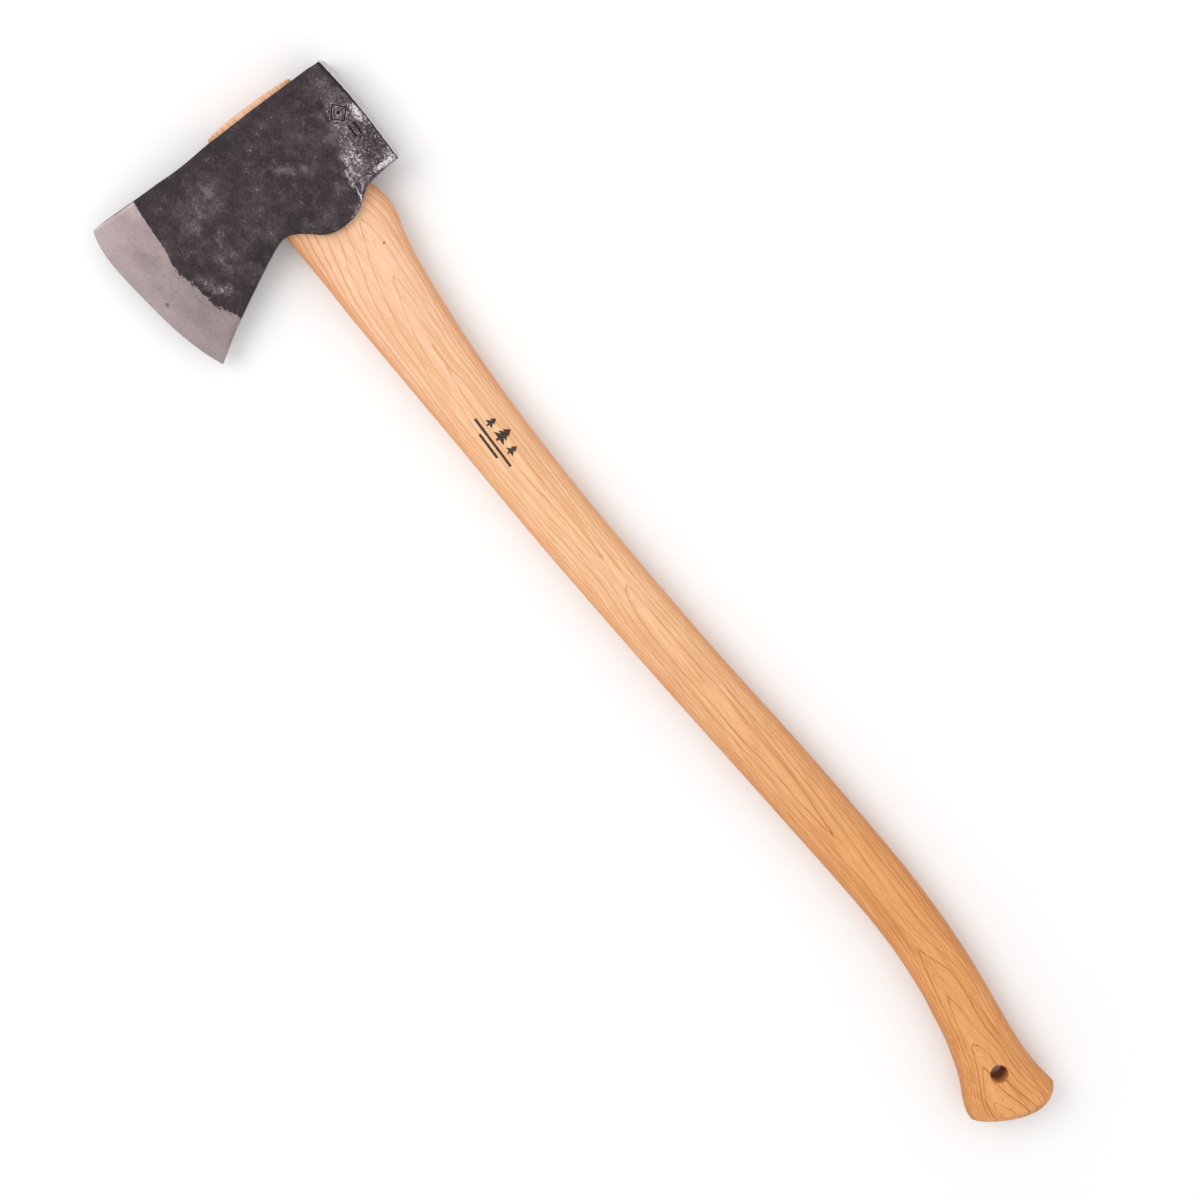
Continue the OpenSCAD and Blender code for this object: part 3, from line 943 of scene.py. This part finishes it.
def bare_metal_and_highlights(g, block):
    """Where metal shows through rubbed or flaked scale and in the scuffs, and a painted highlight along the
    crease and in the bright streaks that follow it.
    """
    streak = g.noise((11, 1.5, 4), 3, 0.6, 5)
    rubbed = g.add(g.spread(g.fine, 2.0), g.spread(g.grit, 1.6), g.spread(streak, 0.8))
    rubbed = g.add(rubbed, g.line(g.wear, 0.66, g.times(block, 0.30)))
    off_crease = g.math("ABSOLUTE", g.add(g.crease, g.spread(g.fine, 2.6)))
    off_crease = g.add(off_crease, g.times(g.less(1.0, g.fade), 1.2))
    # Painted highlight: a bright line along the crease, where the step beside the poll catches the light.
    crease_highlight = g.times(g.range(off_crease, 0.3, 0.95, 1.0, 0.0), g.range(g.fade, 0.1, 0.45), g.cheek)
    torn = g.range(g.add(g.fine, g.spread(g.grit, 1.0)), 0.44, 0.62, 0.0, 0.9)
    # Bright streaks: worn edges, and painted highlight along the crease.
    scuffs_and_highlights = g.times(g.attribute("scuff_and_highlight"), g.upper, torn)
    flecks = g.range(g.noise((1.5, 1.1, 1.5), 2, 0.6, 8), 0.60, 0.70)
    flecks = g.times(flecks, g.range(g.mid, 0.54, 0.66, 0.0, 0.32))
    return g.most(g.range(rubbed, 0.74, 1.10), flecks, crease_highlight, scuffs_and_highlights)


def stamped(g, colour):
    """The stamps: dark in their floor and rubbed bright round their rims."""
    mark = g.times(g.attribute("mark"), g.upper)
    lip = g.times(g.range(mark, 0.02, 0.15), g.range(mark, 0.35, 0.2))
    colour = g.mix(g.times(lip, g.range(g.fine, 0.42, 0.58, 0.1, 0.8)), colour, srgb(206, 198, 203))
    return g.mix(g.times(g.range(mark, 0.3, 0.7), 0.95), colour, srgb(16, 8, 11))


def ground_bit(g, lines):
    """The ground bit's mask, with a ragged edge against the scale, and its colour."""
    tear = g.add(g.spread(g.mid, 6.0), g.spread(g.fine, 9.0))
    tear = g.times(tear, g.range(g.x, row_x(LINE_CALMS[0]), row_x(LINE_CALMS[1]), 1.0, 0.16))
    ground = g.range(g.add(g.grind, tear), -0.2, 0.3)
    soft = g.noise((16, 10, 10), 2, 0.5, 7)
    tone = g.add(g.spread(soft, 0.8), g.spread(lines, 0.35), g.spread(g.fine, 0.9), g.spread(g.grit, 0.7))
    colour = g.ramp(g.line(tone, 1.1, 0.5, clamp=True), [
        (0.0, srgb(128, 115, 114)), (0.5, srgb(150, 135, 135)), (1.0, srgb(168, 153, 153)),
    ])
    honed = g.range(g.add(g.to_edge, g.spread(g.mid, 3.0)), 6.0, 12.0, 1.0, 0.0)
    colour = g.mix(g.times(honed, 0.25), colour, srgb(182, 168, 168))
    off_stain = g.distance(row_place(STAIN), (1, 1.3, 0.2))
    spot = g.range(g.add(off_stain, g.spread(g.fine, 4.0)), 0.6, 2.6, 0.75, 0.0)
    return ground, g.mix(spot, colour, srgb(84, 76, 80))


def steel_material():
    g = SteelGraph("forged_and_ground_steel")
    block = poll_block(g)
    bare_and_highlight = bare_metal_and_highlights(g, block)
    haze = g.range(g.add(g.times(g.wear, 0.7), g.spread(g.mid, 1.5)), 0.1, 0.9, 0.0, 0.5)
    colour = g.mix(haze, forge_scale(g, block), srgb(116, 105, 112))
    # Near white where the scale is rubbed off, and painted highlight on the crease and its streaks.
    colour = g.mix(g.times(bare_and_highlight, 0.88), colour, srgb(226, 219, 224))
    colour = stamped(g, colour)
    lines = g.noise((0.6, 7, 4), 2, 0.5, 6)
    ground, bright = ground_bit(g, lines)
    colour = g.mix(ground, colour, bright)

    # The poll's face and its bevel are ground too, behind a thin dark line.
    widens = g.range(g.x, row_x(POLL_LINE_WIDENS[0]), row_x(POLL_LINE_WIDENS[1]), 0.95, 1.6)
    near = g.add(g.math("DIVIDE", g.poll, widens), g.spread(g.fine, 1.1))
    dark_line = g.times(g.range(near, 1.6, 1.9), g.range(near, 2.4, 3.2, 1.0, 0.0))
    colour = g.mix(g.times(dark_line, 0.92), colour, srgb(22, 13, 16))
    face = g.range(near, 1.55, 1.85, 1.0, 0.0)
    colour = g.mix(face, colour, srgb(196, 190, 192))

    polished = g.most(ground, face)
    metal = g.most(polished, g.times(bare_and_highlight, 0.6))
    rough = g.add(g.times(g.fine, 0.16), g.times(g.less(1.0, polished), 0.12), 0.33)
    height = g.add(g.times(g.fine, 0.7), g.times(g.grit, 0.3))
    height = g.times(height, g.less(1.0, g.times(polished, 0.85)))
    height = g.add(height, g.times(lines, ground, 0.10))
    height = g.less(height, g.times(bare_and_highlight, 0.15))
    return g.finish(
        Base_Color=colour, Metallic=metal, Roughness=rough, Normal=g.bump(height, 0.26, 0.9),
        Specular_IOR_Level=0.22,
    )


BURN_X = 542  # the burnt mark's middle along the haft
PIP = (676.6, -16.8, 10.2)  # a small dark knot near the head
TONES_AT = (150, 470, 690)  # orange up to the first, tan at the second, pale from the third


def burnt_mark(g):
    """The mask of a plain burnt mark on the upper side: three conifers over two bars."""
    ragged = g.spread(g.noise((1.2, 1.2, 1.2), 2, 0.5, 21), 0.5)

    def inside(v):
        return g.range(g.add(v, ragged), -0.22, 0.22, 1.0, 0.0)

    def bar(cx, cy, half_x, half_y):
        return inside(g.most(g.less(g.off(g.x, row_x(cx)), half_x), g.less(g.off(g.y, row_y(cy)), half_y)))

    def tier(cx, tip, foot, half):
        """A triangle with its tip towards the poll side."""
        wide = g.times(g.less(g.y, row_y(tip)), half / (foot - tip))
        slant = g.times(g.less(g.off(g.x, row_x(cx)), wide), 0.85)
        return inside(g.most(slant, g.less(g.y, row_y(foot))))

    parts = [bar(BURN_X, 3.0, 18, 0.85), bar(BURN_X, 6.4, 9, 0.85), bar(BURN_X, -0.6, 0.8, 1.0)]
    for tip, foot, half in ((-10.5, -6.6, 3.0), (-8.0, -4.0, 4.2), (-5.4, -1.2, 5.4)):
        parts.append(tier(BURN_X, tip, foot, half))
    for cx in (BURN_X - 10.5, BURN_X + 10.5):
        parts += [tier(cx, -7.4, -4.2, 2.3), tier(cx, -5.2, -1.6, 3.4), bar(cx, -1.0, 0.6, 0.8)]
    up = g.range(g.z, HEAD_HALF + 4, HEAD_HALF + 5)
    worn = g.range(g.noise((1.0, 0.7, 1.0), 3, 0.7, 22), 0.25, 0.5, 0.88, 1.0)
    return g.times(g.most(*parts), up, worn)


def grain_lines(g, far):
    """The growth rings' lines and the fainter lines between them, 0 to 1."""
    ring = g.add(g.attribute("ring"), g.spread(g.noise((24, 2.6, 2.6), 2, 0.5, 31), 0.14))
    pace = g.attribute("pace")
    which = g.math("FLOOR", ring)
    part = g.math("FRACT", ring)
    # Each line is about as wide however far apart the rings are: a sharp side and a soft one.
    past = g.math("DIVIDE", g.math("DIVIDE", part, pace), 4.0)
    ahead = g.math("DIVIDE", g.less(1.0, part), pace)
    soft_side = g.ramp(past, [(0.0, 1.0), (0.07, 0.66), (0.16, 0.28), (0.32, 0.09), (0.6, 0.0)])
    sharp_side = g.ramp(ahead, [(0.0, 1.0), (0.16, 0.68), (0.38, 0.12), (0.65, 0.0)])
    after = g.times(soft_side, g.line(g.chance(which), 0.5, 0.62))
    before = g.times(sharp_side, g.line(g.chance(g.add(which, 1.0)), 0.5, 0.62))
    # Fainter lines, three to a ring.
    inner = g.times(g.add(ring, g.spread(g.noise((60, 3, 3), 2, 0.5, 37), 0.5)), 3.0)
    off = g.math("DIVIDE", g.times(g.math("PINGPONG", inner, 0.5), 0.3333), pace)
    minor = g.range(off, 0.08, 0.5, 0.42, 0.0)
    broken = g.range(g.noise((40, 2.5, 2.5), 2, 0.5, 38), 0.4, 0.62)
    crowded = g.range(pace, 0.3, 0.7, 1.0, 0.1)
    minor = g.times(minor, broken, crowded, g.line(far, -0.55, 1.0))
    patchy = g.range(g.noise((34, 4, 4), 2, 0.5, 32), 0.35, 0.65, 0.75, 1.1)
    return g.times(g.most(after, before, minor), patchy)


def wood_material(name, marked, deep=0.0):
    """Oiled wood. marked adds the knot and the burnt mark, and deep darkens it."""
    g = Graph(name)
    foot, grip, neck = (row_x(x) for x in TONES_AT)
    along = g.range(g.x, foot, grip)
    far = g.range(g.x, grip, neck)
    line = grain_lines(g, far)
    fuzz = g.noise((26, 0.55, 0.55), 3, 0.65, 33)
    pores = g.noise((4.0, 0.22, 0.22), 2, 0.6, 34)
    band = g.noise((120, 5, 5), 2, 0.5, 35)
    sheen = g.noise((70, 0.9, 0.9), 2, 0.5, 39)

    # Orange at the foot, and paler all the way up to the head: mostly the wood's own tone, and partly painted
    # shade where the light falls off towards the foot.
    pale = g.mix(along, srgb(233, 166, 102), srgb(243, 196, 152))
    pale = g.mix(far, pale, srgb(245, 200, 165))
    dark = g.mix(along, srgb(171, 99, 46), srgb(205, 132, 75))
    light = g.mix(along, srgb(247, 190, 134), srgb(255, 222, 190))
    colour = g.mix(line, pale, dark)
    colour = g.mix(g.range(fuzz, 0.42, 0.64, 0.0, 0.34), colour, dark)
    colour = g.mix(g.range(pores, 0.58, 0.70, 0.0, 0.20), colour, dark)
    colour = g.mix(g.range(sheen, 0.54, 0.66, 0.0, 0.28), colour, light)
    colour = g.mix(g.range(band, 0.46, 0.68, 0.0, 0.24), colour, dark)
    colour = g.mix(g.range(g.attribute("end"), 0.45, 0.95, 0.0, 0.55), colour, srgb(150, 92, 58))
    # The narrow sides are darker: painted shade where they turn away from the light, and more oil where the
    # rings are crowded.
    side = g.range(g.off(g.z, HEAD_HALF), 1.0, 10.5, 1.0, 0.0)
    colour = g.mix(g.times(side, g.line(along, 0.26, 0.38)), colour, dark)
    if deep:
        colour = g.mix(deep, colour, srgb(150, 92, 52))
    # End grain at the tenon's top is darker and pitted.
    ends = g.range(g.x, row_x(TENON_TOP) - 0.7, row_x(TENON_TOP) - 0.3)
    pits = g.noise((0.6, 0.5, 0.5), 2, 0.6, 36)
    colour = g.mix(g.times(ends, g.range(pits, 0.35, 0.7, 0.25, 0.7)), colour, srgb(176, 112, 66))

    height = g.add(g.times(fuzz, 0.5), g.times(pores, -0.35))
    height = g.less(height, g.times(line, 0.25))
    height = g.add(height, g.times(ends, pits, 1.5))
    if marked:
        off_pip = g.distance(row_place(PIP))
        colour = g.mix(g.range(off_pip, 0.5, 1.1, 0.8, 0.0), colour, srgb(128, 78, 46))
        burnt = burnt_mark(g)
        colour = g.mix(g.times(burnt, 0.97), colour, srgb(40, 26, 19))
        height = g.less(height, g.times(burnt, 1.2))
    rough = g.add(g.times(fuzz, 0.12), g.line(line, 0.06, 0.40))
    return g.finish(
        Base_Color=colour, Roughness=rough, Normal=g.bump(height, 0.10, 0.6), Specular_IOR_Level=0.3,
    )


def wedge_steel_material():
    g = Graph("driven_wedge_steel")
    fine = g.noise((1.2, 1.2, 1.2), 4, 0.6, 41)
    scratch = g.noise((0.3, 4, 1), 2, 0.5, 42)
    dirt = g.noise((3.5, 3.5, 3.5), 3, 0.6, 43)
    tone = g.add(g.times(fine, 0.6), g.times(scratch, 0.4))
    colour = g.ramp(tone, [(0.3, srgb(118, 116, 116)), (0.7, srgb(168, 166, 165))])
    colour = g.mix(g.range(dirt, 0.5, 0.75, 0.0, 0.6), colour, srgb(82, 66, 56))
    return g.finish(
        Base_Color=colour, Metallic=0.9, Roughness=g.line(fine, 0.25, 0.3), Normal=g.bump(fine, 0.08, 0.6),
    )


def floor_material():
    g = Graph("pale_floor")
    soft = g.noise((260, 260, 260), 2, 0.5, 61)
    colour = g.ramp(soft, [(0.3, (0.94, 0.94, 0.945, 1.0)), (0.7, (0.96, 0.96, 0.96, 1.0))])
    return g.finish(Base_Color=colour, Roughness=0.85, Specular_IOR_Level=0.2)


# ---------------- pieces


def dress(obj, material):
    obj.data.materials.clear()
    obj.data.materials.append(material)
    return obj


head = dress(head_piece(), steel_material())
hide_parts("axe_head")
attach(head, "root")

haft = dress(haft_piece(), wood_material("oiled_hickory", True))
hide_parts("haft")
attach(haft, "root")

wedge = dress(wedge_piece(), wood_material("wedge_oak", False, 0.55))
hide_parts("wooden_wedge")
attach(wedge, "root")

dress(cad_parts["steel_wedge"], wedge_steel_material())

# ---------------- stage

FLOOR_HALF = 6.0
FLOOR_GAP = 0.0004  # keeps the floor just clear of the head's underside
KEY_PLACE, KEY_AIM = (1.6, 0.85, 2.2), (0.1, 0, 0)
KEY_SIZE, KEY_POWER, KEY_COLOUR = 1.9, 22.0, (1.0, 0.99, 0.975)
WORLD_STRENGTH = 0.92
CAMERA_PLACE = (674.9, -71, 1880)  # over the head, in drawing millimetres
CAMERA_AIM = (424.9, 9, 0)  # the middle of the view
CAMERA_TURN = 53.0  # how the view is turned, so that the haft runs down to the right
VIEW_WIDTH = 733.8  # what the view takes in at its aim, in millimetres
SENSOR = 36.0


def add_floor():
    h = FLOOR_HALF
    mesh = bpy.data.meshes.new("floor")
    mesh.from_pydata([(-h, -h, 0), (h, -h, 0), (h, h, 0), (-h, h, 0)], [], [(0, 1, 2, 3)])
    mesh.materials.append(floor_material())
    floor = new_object("floor", mesh)
    floor.location.z = CAD_BOX[0][2] - FLOOR_GAP


def add_lights():
    """One large soft light, and an even white world."""
    data = bpy.data.lights.new("key", "AREA")
    data.shape, data.size, data.energy, data.color = "DISK", KEY_SIZE, KEY_POWER, KEY_COLOUR
    light = new_object("key", data)
    light.location = KEY_PLACE
    light.rotation_mode = "QUATERNION"
    light.rotation_quaternion = (Vector(KEY_AIM) - Vector(KEY_PLACE)).to_track_quat("-Z", "Y")
    world = bpy.data.worlds.new("studio")
    world.use_nodes = True
    background = world.node_tree.nodes["Background"]
    background.inputs[0].default_value = (1, 1, 1, 1)
    background.inputs[1].default_value = WORLD_STRENGTH
    bpy.context.scene.world = world
    bpy.context.scene.view_settings.view_transform = "Standard"


def add_camera():
    place, aim = Vector(metres(CAMERA_PLACE)), Vector(metres(CAMERA_AIM))
    turn = math.radians(CAMERA_TURN)
    back = (place - aim).normalized()
    right = Vector((-math.cos(turn), -math.sin(turn), 0))
    right = (right - back * right.dot(back)).normalized()
    up = back.cross(right)
    data = bpy.data.cameras.new("camera")
    data.sensor_width = SENSOR
    data.lens = SENSOR * (place - aim).length * 1000 / VIEW_WIDTH
    data.clip_start, data.clip_end = 0.01, 50.0
    camera = new_object("camera", data)
    rows = [(right[i], up[i], back[i], place[i]) for i in range(3)]
    camera.matrix_world = Matrix((*rows, (0, 0, 0, 1)))
    bpy.context.scene.camera = camera


add_floor()
add_lights()
add_camera()

bpy.context.view_layer.update()
